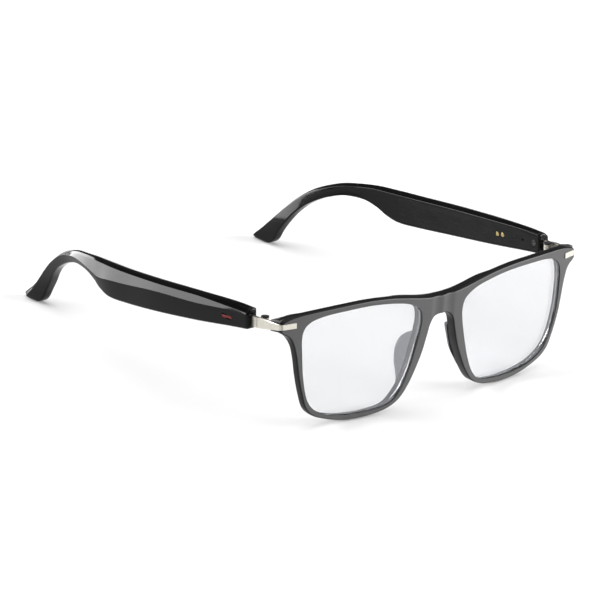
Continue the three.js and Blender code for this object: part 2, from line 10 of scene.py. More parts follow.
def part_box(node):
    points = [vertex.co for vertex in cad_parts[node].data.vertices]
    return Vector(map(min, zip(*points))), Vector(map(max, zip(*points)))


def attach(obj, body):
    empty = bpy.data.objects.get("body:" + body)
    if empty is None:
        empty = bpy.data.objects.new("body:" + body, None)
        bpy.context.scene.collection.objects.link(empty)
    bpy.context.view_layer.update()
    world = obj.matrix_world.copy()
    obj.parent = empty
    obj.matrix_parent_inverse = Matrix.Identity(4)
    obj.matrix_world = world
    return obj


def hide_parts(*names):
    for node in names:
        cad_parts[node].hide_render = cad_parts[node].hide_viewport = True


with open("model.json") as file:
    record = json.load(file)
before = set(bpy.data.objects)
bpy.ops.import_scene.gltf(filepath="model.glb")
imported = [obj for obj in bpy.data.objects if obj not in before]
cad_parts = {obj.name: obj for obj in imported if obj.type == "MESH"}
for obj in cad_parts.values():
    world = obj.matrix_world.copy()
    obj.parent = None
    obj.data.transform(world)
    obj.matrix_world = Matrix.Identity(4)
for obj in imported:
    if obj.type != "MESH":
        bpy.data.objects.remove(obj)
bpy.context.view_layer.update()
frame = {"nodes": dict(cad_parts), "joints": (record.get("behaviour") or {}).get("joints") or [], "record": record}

# Smart glasses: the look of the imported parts. Shapes are in millimetres, in the frame of the
# glasses or in the sloping frame of a temple, and are laid into the row frame in metres.

MM = 0.001
SIDES = {"left": 1, "right": -1}

# ---------- where things are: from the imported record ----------

fold = next(j for j in frame["joints"] if j["child"] == "left_temple")
axis = Vector(fold["axis"]).normalized()
SLOPE_SIN, SLOPE_COS = axis.y, axis.z
HINGE_X, HINGE_Y = 67.6, 10.9
HINGE_HEIGHT = 39.16
ORIGIN_Y = fold["pos_m"][1] / MM - SLOPE_COS * HINGE_Y
ORIGIN_Z = fold["pos_m"][2] / MM + SLOPE_SIN * HINGE_Y - HINGE_HEIGHT


def front_frame_point(p):
    """A point of the front, in millimetres, to the row frame in metres."""
    x, y, z = p
    return (x * MM, (y + ORIGIN_Y) * MM, (z + ORIGIN_Z) * MM)


def temple_point(p):
    """A point of the sloping temple frame, in millimetres, to the row frame in metres."""
    x, y, z = p
    return front_frame_point(
        (x, SLOPE_COS * y + SLOPE_SIN * z, -SLOPE_SIN * y + SLOPE_COS * z + HINGE_HEIGHT)
    )


# ---------- shape data, as in the CAD ----------

FACE_RADIUS, BRIDGE_SET, BELLY = 317, 7.85, 1.1
RIM_DEPTH, THICK_DEPTH, TABLE_FLAT = 2.8, 4.0, 0.15
LENS_THICKNESS, LENS_SETBACK, LENS_BITE = 1.4, 0.6, 0.45
STRIP_OUTER_X, STRIP_THICKNESS, FIT = 70.4, 1.2, 0.15
COVER_THICKNESS, WALL = 1.0, 1.2
END_INNER_X = 64.7
LENS_CENTRE = np.array([36, 22])
END_SCREW_HEAD = {"radius": 1.25, "start": (66.9, 5.4, -0.4), "end": (66.9, 8, -0.4)}
LEAF_SLOT = ((69.0, 14, -2.95), (70.6, 21.9, 1.15))
SPEAKER_PORT = ((68.1, 75, -8), (70.1, 81, -5))

# Round holes in the cover, for the screw's head and right through it: (radius, y, z). They all
# start clear of the cover, on the wearer's side; the one for the head stops inside it.
BORE_START, BORE_END, HEAD_BORE_END = 66, 72, 68.1
COVER_SCREW_HEAD = (1.3, 17.9, -0.3)
COVER_HOLES = [
    (0.65, 17.9, -0.3), (0.4, 23.4, -0.2), (0.55, 27.9, -0.2), (0.9, 33.7, -0.6), (0.9, 36.3, -0.8),
]

# Half of the front's outline, from the top of the bridge round to its underside, and one lens
# opening, down from its upper nasal corner and round: (distance from the centre, height).
FRONT_OUTLINE = [
    (0, 39.65), (6, 39.9), (11, 40.6), (17, 41.7), (24, 42.8), (34, 43.5), (45, 43.35),
    (55, 42.9), (62, 42.4), (66.5, 41.6), (69.4, 40.5), (70.2, 39.6), (70.3, 38.6),
    (70.2, 37.2), (69.3, 36.3), (67, 34.9), (65.6, 33), (64.1, 28.5), (62.2, 19.3),
    (60.3, 12.9), (57.8, 7), (54.6, 4.1), (50, 2.3), (43.5, 0.7), (36, 0.05), (28.5, 0.4),
    (22.4, 1.5), (17.4, 4.0), (13.6, 8.6), (10.8, 13.8), (8.2, 19.8), (6.4, 26),
    (5.2, 30.0), (3.2, 32.0), (0, 32.7),
]
LENS_OUTLINE = [
    (10.2, 35.8), (9.3, 32), (9.8, 27.8), (11.6, 20.5), (14.0, 12.9), (16.9, 7.1),
    (20.9, 3.5), (28, 1.95), (38, 1.75), (48, 3.1), (54.4, 6.0), (57.9, 10), (60.7, 19),
    (61.8, 28.5), (62, 34.2), (61, 37.4), (58.3, 39.6), (53, 41.0), (43, 41.7), (33, 41.85),
    (24.3, 41.1), (16.5, 39.6), (12.6, 37.9),
]

# For each corner of the lens opening, the place on the outline that it faces (an index into
# FRONT_OUTLINE). Above its last index and below 0 lies the middle line of the bridge.
FACING = [
    34.5, 33, 31.5, 30, 28.85, 27.6, 26.6, 25.1, 23.8, 22.3, 20.7, 19.5, 18, 17, 15.2, 12.6,
    9.0, 7.2, 5.9, 4.95, 4.05, 2.9, 1.6, -0.5,
]

# The end piece from front to back: (y, foot, top, width of its broken outer edges).
END_SECTIONS = [
    (0.9, -2.2, 2.2, 0.9), (2.5, -2.5, 2.2, 0.9), (5.4, -2.6, 1.6, 0.7), (6.2, -2.1, 1.1, 0.5),
]

# The hinge strip from front to back: (y, foot, top).
STRIP_PROFILE = np.array([(0, -1.3, 0.65), (5, -1.95, 0.6), (9.5, -2.5, 1.15), (12, -2.7, 1.0)])

# Sections of the temple from the hinge to the tip: (upper edge y, z, lower edge y, z, inner x,
# thickness, height of the crease 0..1, bevel width).
TEMPLE_SECTIONS = np.array([
    (15.0, 3.9, 15.0, -3.7, 67.5, 4.7, 0.69, 0.15),
    (24, 4.45, 24, -4.25, 67.5, 5.1, 0.68, 0.25),
    (40, 4.5, 40, -5.35, 67.5, 6.0, 0.65, 1.0),
    (60, 4.4, 60, -6.35, 67.45, 6.5, 0.685, 1.5),
    (76, 4.3, 76, -6.9, 66.75, 6.6, 0.615, 1.9),
    (86, 4.4, 85.5, -6.75, 65.95, 6.8, 0.555, 2.2),
    (93, 4.5, 91.3, -5.1, 65.35, 6.4, 0.42, 2.2),
    (98, 4.5, 95.5, -2.9, 64.8, 5.9, 0.34, 2.0),
    (104, 4.1, 101.5, -1.0, 63.8, 5.3, 0.345, 1.7),
    (111, 3.35, 109, -0.75, 62.0, 4.6, 0.5, 1.2),
    (117.5, 1.6, 115, -2.1, 60.2, 4.2, 0.7, 0.7),
    (123.1, -0.7, 120, -4.0, 58.7, 4.1, 0.8, 0.7),
    (129.1, -4.5, 125.2, -6.9, 57.1, 4.1, 0.8, 0.9),
    (134.6, -9.2, 129.2, -10.4, 55.5, 4.1, 0.8, 1.1),
    (139.6, -14.0, 132.2, -14.1, 54.2, 4.0, 0.8, 1.5),
    (144.2, -18.1, 135.0, -17.9, 53.6, 3.9, 0.74, 1.9),
    (147.3, -20.4, 137.1, -21.2, 53.5, 3.8, 0.72, 1.7),
    (148.5, -21.5, 139.2, -22.8, 53.6, 3.4, 0.72, 1.3),
    (147.7, -22.35, 141.6, -23.08, 53.9, 2.6, 0.72, 0.9),
])
END_ROUNDING = 0.8  # radius of the edges at the temple's hinge end
BAY_START, BAY_END = 0.18, 4.9  # the hollow of the temple, counted in sections
RECESS_START, RECESS_END = 0.12, BAY_END + 0.02  # the inner cover and the recess that it fills

# Nose pad from top to bottom: (height, root x, rear edge x, rear edge y, thickness).
PAD_SECTIONS = np.array([
    (26.6, 7.2, 7.4, -3.2, 0.9), (25.9, 7.4, 8.6, -1.8, 1.5), (24.9, 7.7, 9.8, -0.1, 1.8),
    (23.0, 8.3, 11.4, 1.2, 2.0), (19.6, 9.4, 12.8, 1.5, 2.1), (15.2, 11.0, 13.6, 0.7, 2.1),
    (12, 12.8, 14.2, -1.0, 1.9), (9, 14.7, 15.1, -2.6, 1.6), (6.7, 16.5, 16.6, -3.0, 0.9),
])


def smoothstep(x, low, high):
    t = min(max((x - low) / (high - low), 0), 1)
    return t * t * (3 - 2 * t)


def face_form(x, height):
    swell = math.sin(math.pi * min(max(height / HINGE_HEIGHT, 0), 1))
    return x * x / (2 * FACE_RADIUS) - BRIDGE_SET - BELLY * (x / HINGE_X) ** 2 * swell


def rim_depth(x, height):
    bridge = 1 - smoothstep(abs(x), 17, 26)
    corner = smoothstep(abs(x), 60, 66) * smoothstep(height, 30, 36)
    return RIM_DEPTH + (THICK_DEPTH - RIM_DEPTH) * max(bridge, corner)


class Outline:
    """A smooth closed curve through corner points; its place is a corner's index and part."""

    def __init__(self, corners):
        self.points = np.array(corners, float)

    def at(self, place):
        count = len(self.points)
        i = int(math.floor(place))
        w = place - i
        p0, p1, p2, p3 = (self.points[(i + k) % count] for k in (-1, 0, 1, 2))
        d0, d1, d2 = (math.sqrt(np.linalg.norm(b - a)) for a, b in ((p0, p1), (p1, p2), (p2, p3)))
        t1 = ((p1 - p0) / d0 - (p2 - p0) / (d0 + d1) + (p2 - p1) / d1) * d1
        t2 = ((p2 - p1) / d1 - (p3 - p1) / (d1 + d2) + (p3 - p2) / d2) * d1
        c2 = -3 * p1 + 3 * p2 - 2 * t1 - t2
        c3 = 2 * p1 - 2 * p2 + t1 + t2
        return p1 + w * (t1 + w * (c2 + w * c3))

    def normal(self, place, turn):
        """Unit normal; turn is 1 for the right-hand side of the way the outline runs."""
        step = self.at(place + 0.01) - self.at(place - 0.01)
        step /= np.linalg.norm(step)
        return turn * np.array([step[1], -step[0]])


mirrored = [(-x, z) for x, z in FRONT_OUTLINE[-2:0:-1]]
outer_curve = Outline([*FRONT_OUTLINE, *mirrored])
lens_curve = Outline(LENS_OUTLINE)


def spline_rows(rows, t):
    """Row t of a table, by a smooth curve through its rows."""
    last = len(rows) - 1
    i = min(int(t), last - 1)
    p = t - i
    before = rows[i - 1] if i > 0 else 2 * rows[0] - rows[1]
    after = rows[i + 2] if i + 2 <= last else 2 * rows[last] - rows[last - 1]
    a, b = rows[i], rows[i + 1]
    return (
        before * (-0.5 * p**3 + p * p - 0.5 * p) + a * (1.5 * p**3 - 2.5 * p * p + 1)
        + b * (-1.5 * p**3 + 2 * p * p + 0.5 * p) + after * (0.5 * p**3 - 0.5 * p * p)
    )


# ---------- mesh helpers ----------


def rounded(points, radii, steps=4):
    """A polygon with its corners rounded, always with the same number of points."""
    points = np.array(points, float)
    out = []
    for i, (p, radius) in enumerate(zip(points, radii)):
        a, b = points[i - 1] - p, points[(i + 1) % len(points)] - p
        la, lb = np.linalg.norm(a), np.linalg.norm(b)
        a, b = a / la, b / lb
        half = math.acos(max(-1, min(1, float(a @ b)))) / 2
        reach = min(radius / math.tan(half), 0.45 * la, 0.45 * lb)
        for k in range(steps + 1):
            t = k / steps
            out.append(p + a * reach * (1 - t) ** 2 + b * reach * t * t)
    return np.array(out)


def tube_faces(rings, count, closed=False):
    faces = []
    for r in range(rings if closed else rings - 1):
        s = (r + 1) % rings
        for i in range(count):
            j = (i + 1) % count
            faces.append((r * count + i, r * count + j, s * count + j, s * count + i))
    if not closed:
        faces.append(tuple(range(count)))
        faces.append(tuple(reversed(range((rings - 1) * count, rings * count))))
    return faces


def new_object(name, verts, faces, sign=1):
    mesh = bpy.data.meshes.new(name)
    mesh.from_pydata([(sign * x, y, z) for x, y, z in verts], [], faces)
    bm = bmesh.new()
    bm.from_mesh(mesh)
    bmesh.ops.remove_doubles(bm, verts=bm.verts, dist=1e-7)
    bmesh.ops.recalc_face_normals(bm, faces=bm.faces)
    bm.to_mesh(mesh)
    bm.free()
    obj = bpy.data.objects.new(name, mesh)
    bpy.context.scene.collection.objects.link(obj)
    return obj


def loft(name, rings, sign=1, place=temple_point):
    verts = [place(p) for ring in rings for p in ring]
    return new_object(name, verts, tube_faces(len(rings), len(rings[0])), sign)


def block(name, low, high, sign=1, place=temple_point):
    (x0, y0, z0), (x1, y1, z1) = low, high
    rings = [[(x0, y, z0), (x1, y, z0), (x1, y, z1), (x0, y, z1)] for y in (y0, y1)]
    return loft(name, rings, sign, place)


def rod(name, radius, start, end, sign=1, sides=32):
    """A round rod between two points of the temple frame, along X or along Y."""
    start, end = np.array(start, float), np.array(end, float)
    across = (1, 2) if abs(end[0] - start[0]) > 1e-6 else (0, 2)
    rings = []
    for point in (start, end):
        ring = []
        for k in range(sides):
            p = point.copy()
            p[across[0]] += radius * math.cos(2 * math.pi * k / sides)
            p[across[1]] += radius * math.sin(2 * math.pi * k / sides)
            ring.append(p)
        rings.append(ring)
    return loft(name, rings, sign)


def evaluated(obj):
    """Replaces obj's mesh by what its modifiers make of it."""
    depsgraph = bpy.context.evaluated_depsgraph_get()
    mesh = bpy.data.meshes.new_from_object(obj.evaluated_get(depsgraph))
    obj.modifiers.clear()
    obj.data = mesh


def combine(obj, operation, *tools):
    for tool in tools:
        modifier = obj.modifiers.new("combine", "BOOLEAN")
        modifier.operation = operation
        modifier.solver = "EXACT"
        modifier.object = tool
    bpy.context.view_layer.update()
    evaluated(obj)
    for tool in tools:
        bpy.data.objects.remove(tool)
    return obj


def shade(obj, angle=32):
    mesh = obj.data
    mesh.polygons.foreach_set("use_smooth", [True] * len(mesh.polygons))
    mesh.set_sharp_from_angle(angle=math.radians(angle))


def soften(obj, width, angle=32, segments=2):
    bevel = obj.modifiers.new("soft edges", "BEVEL")
    bevel.limit_method = "ANGLE"
    bevel.angle_limit = math.radians(angle)
    bevel.width = width * MM
    bevel.segments = segments
    bevel.use_clamp_overlap = True
    weighted = obj.modifiers.new("normals", "WEIGHTED_NORMAL")
    weighted.keep_sharp = True


# ---------- materials ----------

BUMP_HEIGHT = 0.02 * MM


def slotted(material, obj):
    obj.data.materials.clear()
    obj.data.materials.append(material)


def make_material(name, low, high, rough, streaks=(500, 500, 500), grain=2500, bump=0.1,
                  metallic=0.0, specular=0.5, alpha=1.0):
    """A base colour that wanders between low and high, roughness that wanders with it, and a
    fine bump. streaks is the scale of the wandering along X, Y and Z, per metre."""
    material = bpy.data.materials.new(name)
    material.use_nodes = True
    nodes, links = material.node_tree.nodes, material.node_tree.links
    shader = nodes["Principled BSDF"]
    coords = nodes.new("ShaderNodeTexCoord")
    mapping = nodes.new("ShaderNodeMapping")
    mapping.inputs["Scale"].default_value = streaks
    wander = nodes.new("ShaderNodeTexNoise")
    wander.inputs["Scale"].default_value = 1
    wander.inputs["Detail"].default_value = 6
    wander.inputs["Roughness"].default_value = 0.62
    ramp = nodes.new("ShaderNodeValToRGB")
    ramp.color_ramp.elements[0].position = 0.32
    ramp.color_ramp.elements[1].position = 0.68
    ramp.color_ramp.elements[0].color = (*low, 1)
    ramp.color_ramp.elements[1].color = (*high, 1)
    spread = nodes.new("ShaderNodeMapRange")
    spread.inputs["From Min"].default_value = 0.3
    spread.inputs["From Max"].default_value = 0.7
    spread.inputs["To Min"].default_value = rough[0]
    spread.inputs["To Max"].default_value = rough[1]
    fine = nodes.new("ShaderNodeTexNoise")
    fine.inputs["Scale"].default_value = grain
    fine.inputs["Detail"].default_value = 3
    bumps = nodes.new("ShaderNodeBump")
    bumps.inputs["Strength"].default_value = bump
    bumps.inputs["Distance"].default_value = BUMP_HEIGHT
    links.new(coords.outputs["Object"], mapping.inputs["Vector"])
    links.new(mapping.outputs["Vector"], wander.inputs["Vector"])
    links.new(wander.outputs["Fac"], ramp.inputs["Fac"])
    links.new(wander.outputs["Fac"], spread.inputs["Value"])
    links.new(ramp.outputs["Color"], shader.inputs["Base Color"])
    links.new(spread.outputs["Result"], shader.inputs["Roughness"])
    links.new(coords.outputs["Object"], fine.inputs["Vector"])
    links.new(fine.outputs["Fac"], bumps.inputs["Height"])
    links.new(bumps.outputs["Normal"], shader.inputs["Normal"])
    shader.inputs["Metallic"].default_value = metallic
    shader.inputs["Specular IOR Level"].default_value = specular
    shader.inputs["Alpha"].default_value = alpha
    return material


def grey(value, warm=0.0):
    return (value * (1 + warm), value, value * (1 - warm))


def paint_front_sheen(material, colour):
    """Paints a sheen: the surfaces that look to the front or the back get a paler colour, a painted reflection of
    bright surroundings.
    """
    nodes, links = material.node_tree.nodes, material.node_tree.links
    shader = nodes["Principled BSDF"]
    edges = shader.inputs["Base Color"].links[0].from_socket
    coords = nodes.new("ShaderNodeTexCoord")
    split = nodes.new("ShaderNodeSeparateXYZ")
    size = nodes.new("ShaderNodeMath")
    size.operation = "ABSOLUTE"
    # Painted sheen: the paler grey is mixed in where the normal looks to the front or the back.
    share = nodes.new("ShaderNodeMapRange")
    share.inputs["From Min"].default_value = 0.80
    share.inputs["From Max"].default_value = 0.97
    mix = nodes.new("ShaderNodeMix")
    mix.data_type = "RGBA"
    mix.inputs["B"].default_value = (*colour, 1)
    links.new(coords.outputs["Normal"], split.inputs["Vector"])
    links.new(split.outputs["Y"], size.inputs[0])
    links.new(size.outputs["Value"], share.inputs["Value"])
    links.new(share.outputs["Result"], mix.inputs["Factor"])
    links.new(edges, mix.inputs["A"])
    links.new(mix.outputs["Result"], shader.inputs["Base Color"])


LOOKS = {
    "frame_black": dict(
        low=grey(0.003), high=grey(0.008), rough=(0.30, 0.42), streaks=(90, 1400, 1400),
        grain=5200, bump=0.10, specular=0.2,
    ),
    "temple_black": dict(
        low=grey(0.002), high=grey(0.004), rough=(0.07, 0.15), streaks=(900, 120, 900), grain=3800,
        bump=0.05, specular=0.15,
    ),
    "cover_black": dict(
        low=grey(0.002), high=grey(0.005), rough=(0.2, 0.3), streaks=(900, 160, 900), grain=6500,
        bump=0.2, specular=0.15,
    ),
    "pad_black": dict(
        low=(0.018, 0.019, 0.026), high=(0.026, 0.028, 0.036), rough=(0.42, 0.55), grain=7000,
        bump=0.2, specular=0.2,
    ),
    "clear_lens": dict(
        low=(0.62, 0.63, 0.66), high=(0.65, 0.66, 0.69), rough=(0.02, 0.035), streaks=(60, 60, 60),
        grain=200, bump=0.0, metallic=1.0, alpha=0.27,
    ),
    "satin_silver": dict(
        low=(0.44, 0.42, 0.37), high=(0.56, 0.54, 0.48), rough=(0.30, 0.42),
        streaks=(5200, 500, 5200), grain=9000, bump=0.12, metallic=1.0,
    ),
    "dark_steel": dict(
        low=grey(0.03, 0.03), high=grey(0.06, 0.03), rough=(0.28, 0.42),
        streaks=(3000, 3000, 3000), grain=9000, bump=0.2, metallic=1.0,
    ),
    "battery_foil": dict(
        low=grey(0.50), high=grey(0.66), rough=(0.30, 0.45), streaks=(700, 300, 700), grain=1800,
        bump=0.5, metallic=1.0,
    ),
    "board_green": dict(
        low=(0.012, 0.10, 0.045), high=(0.025, 0.15, 0.07), rough=(0.35, 0.5), grain=4000,
        bump=0.2,
    ),
    "speaker_black": dict(
        low=grey(0.015), high=grey(0.025), rough=(0.5, 0.65), grain=4000, bump=0.3,
    ),
    "mesh_steel": dict(
        low=grey(0.02), high=grey(0.05), rough=(0.35, 0.5), streaks=(9000, 9000, 9000), grain=9000,
        bump=0.8, metallic=1.0,
    ),
    "can_steel": dict(
        low=grey(0.45), high=grey(0.60), rough=(0.22, 0.34), streaks=(3000, 400, 3000), grain=8000,
        bump=0.1, metallic=1.0,
    ),
    "light_pipe": dict(
        low=(0.010, 0.012, 0.015), high=(0.020, 0.022, 0.026), rough=(0.08, 0.14), grain=5000,
        bump=0.03, specular=0.1,
    ),
    "sensor_copper": dict(
        low=(0.55, 0.26, 0.13), high=(0.68, 0.34, 0.18), rough=(0.3, 0.42), metallic=1.0,
    ),
    "gold_contact": dict(
        low=(0.34, 0.26, 0.11), high=(0.46, 0.36, 0.17), rough=(0.22, 0.34),
        streaks=(4000, 4000, 4000), grain=9000, bump=0.1, metallic=1.0,
    ),
    "mark_red": dict(
        low=(0.10, 0.008, 0.007), high=(0.16, 0.014, 0.012), rough=(0.35, 0.45), grain=6000,
        bump=0.15, specular=0.2,
    ),
}
MATERIALS = {name: make_material(name, **look) for name, look in LOOKS.items()}

# The front's broad faces, which look to the front or the back, get a painted sheen: a paler grey than its edges
# that stands in for reflected light.
paint_front_sheen(MATERIALS["frame_black"], grey(0.07))

SLOTS = {s["node"]: s["material_slot"] for s in frame["record"]["subparts"]}
for node, obj in frame["nodes"].items():
    slotted(MATERIALS[SLOTS[node]], obj)


def finish_piece(obj, node, body, angle=32):
    """Gives a new piece the shading and the material of the CAD node that it stands for, hangs it on a body and
    hides the node.
    """
    shade(obj, angle)
    slotted(MATERIALS[SLOTS[node]], obj)
    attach(obj, body)
    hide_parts(node)
    return obj


def refine(node, body, width, angle=30):
    """A copy of a small CAD node with clean faces and softened edges."""
    source = frame["nodes"][node]
    bm = bmesh.new()
    bm.from_mesh(source.data)
    bmesh.ops.remove_doubles(bm, verts=bm.verts, dist=2e-6)
    bmesh.ops.dissolve_limit(bm, angle_limit=math.radians(1), verts=bm.verts, edges=bm.edges)
    bmesh.ops.recalc_face_normals(bm, faces=bm.faces)
    mesh = bpy.data.meshes.new(f"{node}_fine")
    bm.to_mesh(mesh)
    bm.free()
    obj = bpy.data.objects.new(f"{node}_fine", mesh)
    bpy.context.scene.collection.objects.link(obj)
    finish_piece(obj, node, body, angle)
    soften(obj, width, angle)
    return obj


# ---------- front ----------

EDGE_FRONT, EDGE_BACK, EDGE_LENS = 0.55, 0.5, 0.3  # radii of the rims' edges
ACROSS = 14  # steps across the face of a rim
ROUND = 5  # steps round one of its edges
RINGS = 18  # turns round the section from one corner of the lens opening to the next
LAST_RINGS = 21  # after the last corner, so that one turn meets the outline's top middle
FOOT = len(FRONT_OUTLINE) - 1  # the outline's place in the middle of the bridge's underside
SCOOP_REACH, SCOOP_DEPTH, SCOOP_SOFTNESS = 5.5, 0.5, 0.02  # the scoops across the bridge


def bridge_relief(x):
    """The two shallow scoops across the bridge, with a ridge between them."""
    if abs(x) > SCOOP_REACH:
        return 0.0
    wave = math.sin(math.pi * abs(x) / SCOOP_REACH)
    return SCOOP_DEPTH * (math.sqrt(wave**2 + SCOOP_SOFTNESS) - math.sqrt(SCOOP_SOFTNESS))


def front_ring(lens_place, outer_place):
    """One turn round the rim's section, from its lens edge to its outer edge and back."""
    inner = lens_curve.at(lens_place)
    away = lens_curve.normal(lens_place, -1)
    top, foot = FRONT_OUTLINE[0][1], FRONT_OUTLINE[-1][1]
    middle = outer_place < -1e-6 or outer_place > FOOT + 1e-6
    if middle:
        share = outer_place - FOOT if outer_place > FOOT else outer_place + 1
        outer = np.array([0, foot + (top - foot) * share])
        outward = None
    else:
        outer = outer_curve.at(outer_place)
        outward = outer_curve.normal(outer_place, -1)

    def edge(inset):
        if middle:
            return np.array([0, foot + inset + (top - foot - 2 * inset) * share])
        return outer - inset * outward

    depth_out, depth_in = rim_depth(*outer), rim_depth(*inner)
    ring = []
    for k in range(ROUND + 1):
        turn = 0.5 * math.pi * k / ROUND
        p = inner + away * EDGE_LENS * (1 - math.cos(turn))
        ring.append((p, EDGE_LENS * (1 - math.sin(turn))))
    start, end = inner + away * EDGE_LENS, edge(EDGE_FRONT)
    for k in range(1, ACROSS):
        ring.append((start + (end - start) * k / ACROSS, 0.0))
    for k in range(ROUND + 1):
        turn = 0.5 * math.pi * k / ROUND
        ring.append((edge(EDGE_FRONT * (1 - math.sin(turn))), EDGE_FRONT * (1 - math.cos(turn))))
    ring.append((edge(-0.04), depth_out / 2))
    for k in range(ROUND + 1):
        turn = 0.5 * math.pi * k / ROUND
        inset = EDGE_BACK * (1 - math.cos(turn))
        ring.append((edge(inset), depth_out - EDGE_BACK * (1 - math.sin(turn))))
    start, end = edge(EDGE_BACK), inner + away * EDGE_LENS
    for k in range(1, ACROSS):
        p = start + (end - start) * k / ACROSS
        ring.append((p, rim_depth(*p)))
    for k in range(ROUND + 1):
        turn = 0.5 * math.pi * k / ROUND
        p = inner + away * EDGE_LENS * (1 - math.sin(turn))
        ring.append((p, depth_in - EDGE_LENS * (1 - math.cos(turn))))
    points = []
    for (x, height), depth in ring:
        share = 1 - depth / rim_depth(x, height)
        y = face_form(x, height) + depth + bridge_relief(x) * max(share, 0)
        points.append((x, y, max(height, TABLE_FLAT)))
    return points


def strip_heights(y):
    return (np.interp(y, STRIP_PROFILE[:, 0], STRIP_PROFILE[:, 1]),
            np.interp(y, STRIP_PROFILE[:, 0], STRIP_PROFILE[:, 2]))


def strip_prism(name, corners, margin, sign):
    rings = []
    for level in (0, 1):
        ring = []
        for x, y in corners:
            foot, top = strip_heights(y)
            ring.append((x, y, top + margin if level else foot - margin))
        rings.append(ring)
    obj = loft(name, rings, sign)
    bm = bmesh.new()
    bm.from_mesh(obj.data)
    bmesh.ops.triangulate(bm, faces=[f for f in bm.faces if len(f.verts) > 4])
    bm.to_mesh(obj.data)
    bm.free()
    return obj


def build_front():
    rings = []
    for k in range(len(LENS_OUTLINE)):
        a, b = FACING[k], FACING[k + 1]
        count = LAST_RINGS if k == len(LENS_OUTLINE) - 1 else RINGS
        for i in range(count):
            rings.append(front_ring(k + i / count, round(a + (b - a) * i / count, 9)))
    count = len(rings[0])
    verts = [front_frame_point(p) for ring in rings for p in ring]
    faces = [
        f for f in tube_faces(len(rings), count, closed=True)
        if not all(abs(verts[v][0]) < 1e-7 for v in f)
    ]
    shift = len(verts)
    other = [tuple(v + shift for v in reversed(f)) for f in faces]
    obj = new_object("front_shell", verts + [(-x, y, z) for x, y, z in verts], faces + other)
    inner_x = STRIP_OUTER_X - STRIP_THICKNESS
    end_x = STRIP_OUTER_X - 0.25
    stations = STRIP_PROFILE[1:, 0]
    for sign in SIDES.values():
        sections = []
        for y, low, high, soft in END_SECTIONS:
            corners = [(END_INNER_X, low), (end_x, low), (end_x, high), (END_INNER_X, high)]
            sections.append([(x, y, z) for x, z in rounded(corners, (0.1, soft, soft, 0.1))])
        combine(obj, "UNION", loft("end", sections, sign))
        pocket = [
            (64.1, -3), (STRIP_OUTER_X + 1, -3), *((STRIP_OUTER_X + 1, y) for y in stations),
            *((inner_x - FIT, y) for y in stations[::-1]), (inner_x - FIT, 1.3 + FIT), (64.1, -0.1),
        ]
        combine(
            obj, "DIFFERENCE",
            strip_prism("pocket", pocket, 0.06, sign),
            rod("head", **END_SCREW_HEAD, sign=sign),
        )
    return obj


finish_piece(build_front(), "front_frame", "front", 28)


def build_lens(side, sign):
    places = np.linspace(0, len(LENS_OUTLINE), len(LENS_OUTLINE) * 8, endpoint=False)

    def ring(reach, share, depth):
        out = []
        for place in places:
            p = lens_curve.at(place) + reach * lens_curve.normal(place, -1)
            p = LENS_CENTRE + (p - LENS_CENTRE) * share
            out.append((p[0], face_form(*p) + depth, p[1]))
        return out

    shares = [0.02, 0.15, 0.3, 0.45, 0.6, 0.75, 0.9, 1]
    middle = LENS_SETBACK + LENS_THICKNESS / 2
    rings = [ring(0.25, s, LENS_SETBACK) for s in shares]
    rings += [ring(LENS_BITE, 1, middle - 0.15), ring(LENS_BITE, 1, middle + 0.15)]
    rings += [ring(0.25, s, LENS_SETBACK + LENS_THICKNESS) for s in shares[::-1]]
    return loft(f"lens_{side}_fine", rings, sign, front_frame_point)


def build_pad(side, sign):
    rings = []
    for t in np.linspace(0, len(PAD_SECTIONS) - 1, 65):
        height, root_x, edge_x, edge_y, thickness = spline_rows(PAD_SECTIONS, t)
        root = np.array([root_x, face_form(root_x, height) + rim_depth(root_x, height) - 0.35])
        tip = np.array([edge_x, edge_y])
        along = (tip - root) / np.linalg.norm(tip - root)
        across = np.array([along[1], -along[0]])
        half = thickness / 2
        cap = min(half, 0.45 * np.linalg.norm(tip - root))
        ring = []
        for share in (0, 0.25, 0.5, 0.75, 1):
            p = root + (tip - along * cap - root) * share
            flare = 1 + 0.35 * (1 - share) ** 3
            ring.append(p + across * half * flare)
        for k in range(1, 8):
            turn = math.pi * k / 8
            ring.append(tip - along * cap * (1 - math.sin(turn)) + across * half * math.cos(turn))
        for share in (1, 0.75, 0.5, 0.25, 0):
            p = root + (tip - along * cap - root) * share
            flare = 1 + 0.35 * (1 - share) ** 3
            ring.append(p - across * half * flare)
        rings.append([(x, y, height) for x, y in ring])
    return loft(f"nose_pad_{side}_fine", rings, sign, front_frame_point)


# ---------- temples ----------


def section_points(t, outline):
    row = spline_rows(TEMPLE_SECTIONS, t)
    upper_y, upper_z, lower_y, lower_z, inner, thick, crease, bevel = row
    tall = math.hypot(upper_y - lower_y, upper_z - lower_z)
    points = []
    for across, up in outline(tall, thick, crease * tall, bevel):
        share = up / tall
        points.append((inner + across, lower_y + (upper_y - lower_y) * share,
                       lower_z + (upper_z - lower_z) * share))
    return points


def skin(tall, thick, crease, bevel):
    fall = 1 + max(0, 1 - bevel)
    corners = [
        (0, 0), (thick, 0), (thick, crease), (thick - bevel, tall - fall),
        (0.7 * thick - 0.5 * bevel, tall - 0.35 * fall), (0.35 * thick, tall),
        (0, tall - min(0.8, 0.2 * tall)),
    ]
    return rounded(corners, (0.6, 0.8, 0.3, 0.4, 1.0, 2.0, 0.5))


def inset_skin(inset):
    def outline(tall, thick, crease, bevel):
        points = skin(tall, thick, crease, bevel)
        centre = np.array([thick / 2, tall / 2])
        shrink = 1 - 2 * inset / np.array([thick, tall])
        return centre + (points - centre) * shrink
    return outline


def bay(tall, thick, crease, bevel):
    outer, roof = thick - WALL, tall - 2
    return [(-1, 1.3), (outer, 1.3), (outer, crease - 0.6), (outer - 0.9 * bevel, roof), (-1, roof)]


